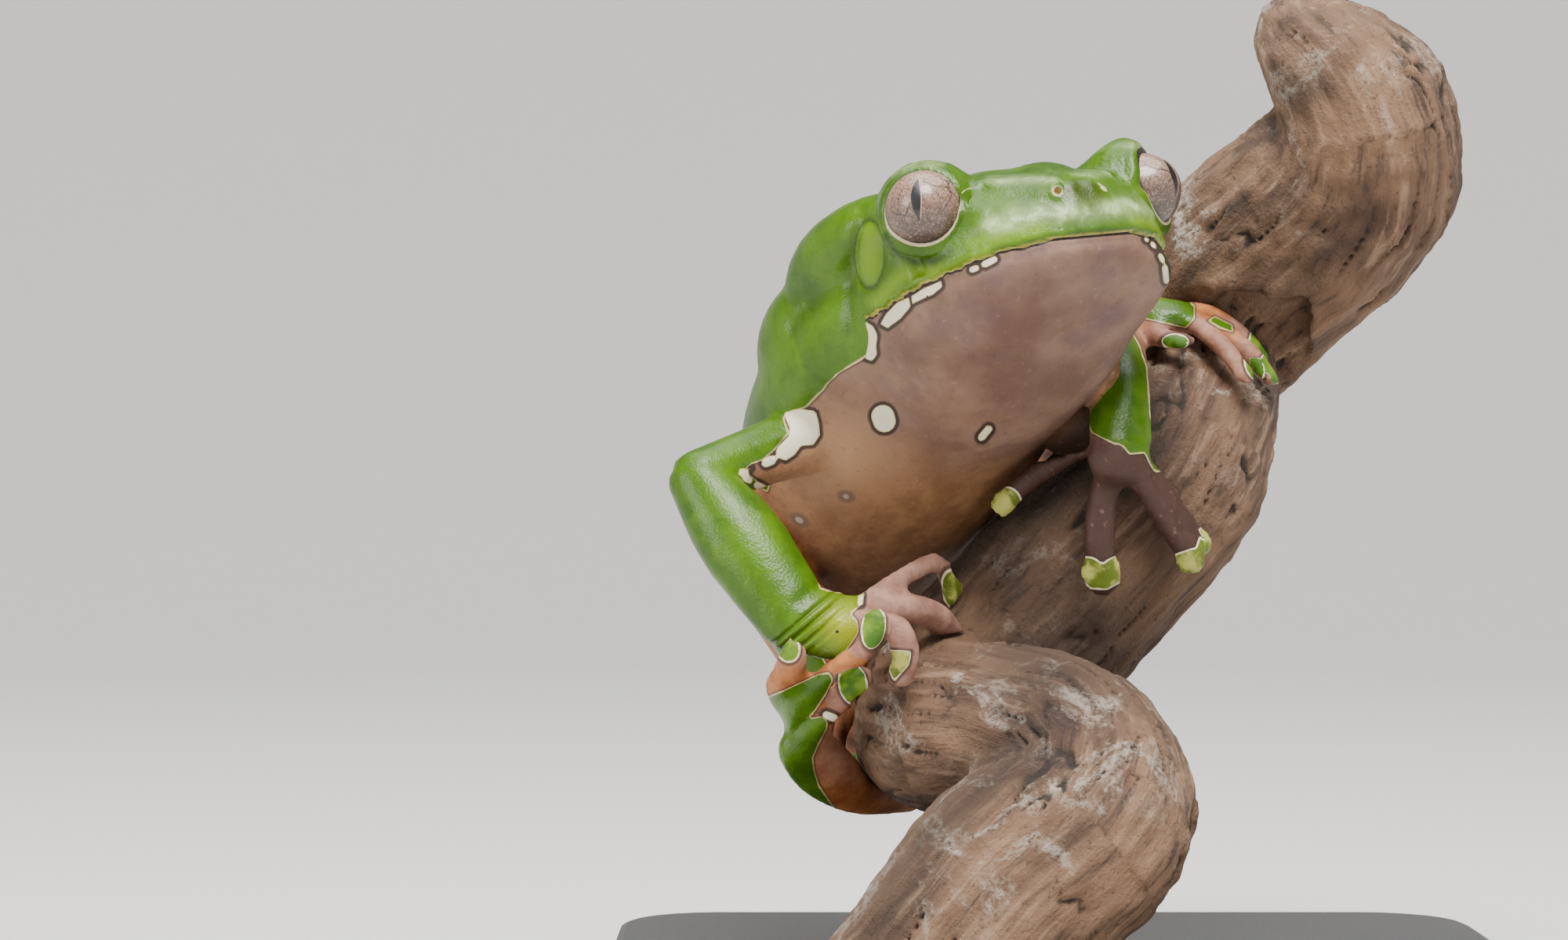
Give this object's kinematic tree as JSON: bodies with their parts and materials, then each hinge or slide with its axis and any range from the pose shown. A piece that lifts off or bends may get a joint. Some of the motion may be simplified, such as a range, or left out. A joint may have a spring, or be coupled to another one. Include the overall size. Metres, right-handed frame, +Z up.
{
  "type": "giant monkey frog",
  "caption": "Life-size giant monkey frog gripping a twisted liana with folded arms and legs, held up by a flat display stand with short rods.",
  "frame": {"origin": "middle of the underside of the stand's base", "axes": "+Z up; the viewer of the picture stands on the -Y side and looks along +Y; +X is to the viewer's right"},
  "size_m": [0.124, 0.1187, 0.1408],
  "materials": {
    "skin": "moist satin, leaf green above and mauve brown below",
    "eye": "glossy, bronze iris with an upright slit pupil",
    "liana": "dry weathered bark with pale lichen",
    "base": "satin black",
    "rod": "brushed"
  },
  "bodies": {
    "root": {"head": "skin", "torso": "skin", "upper_arm_right": "skin", "forearm_right": "skin", "hand_right": "skin", "upper_arm_left": "skin", "forearm_left": "skin", "hand_left": "skin", "thigh_right": "skin", "shank_right": "skin", "foot_right": "skin", "thigh_left": "skin", "shank_left": "skin", "foot_left": "skin", "eye_right": "eye", "eye_left": "eye", "perch_lower": "liana", "perch_middle": "liana", "perch_upper": "liana", "stand_base": "base", "stand_rod_front": "rod", "stand_rod_rear": "rod"}
  },
  "joints": []
}
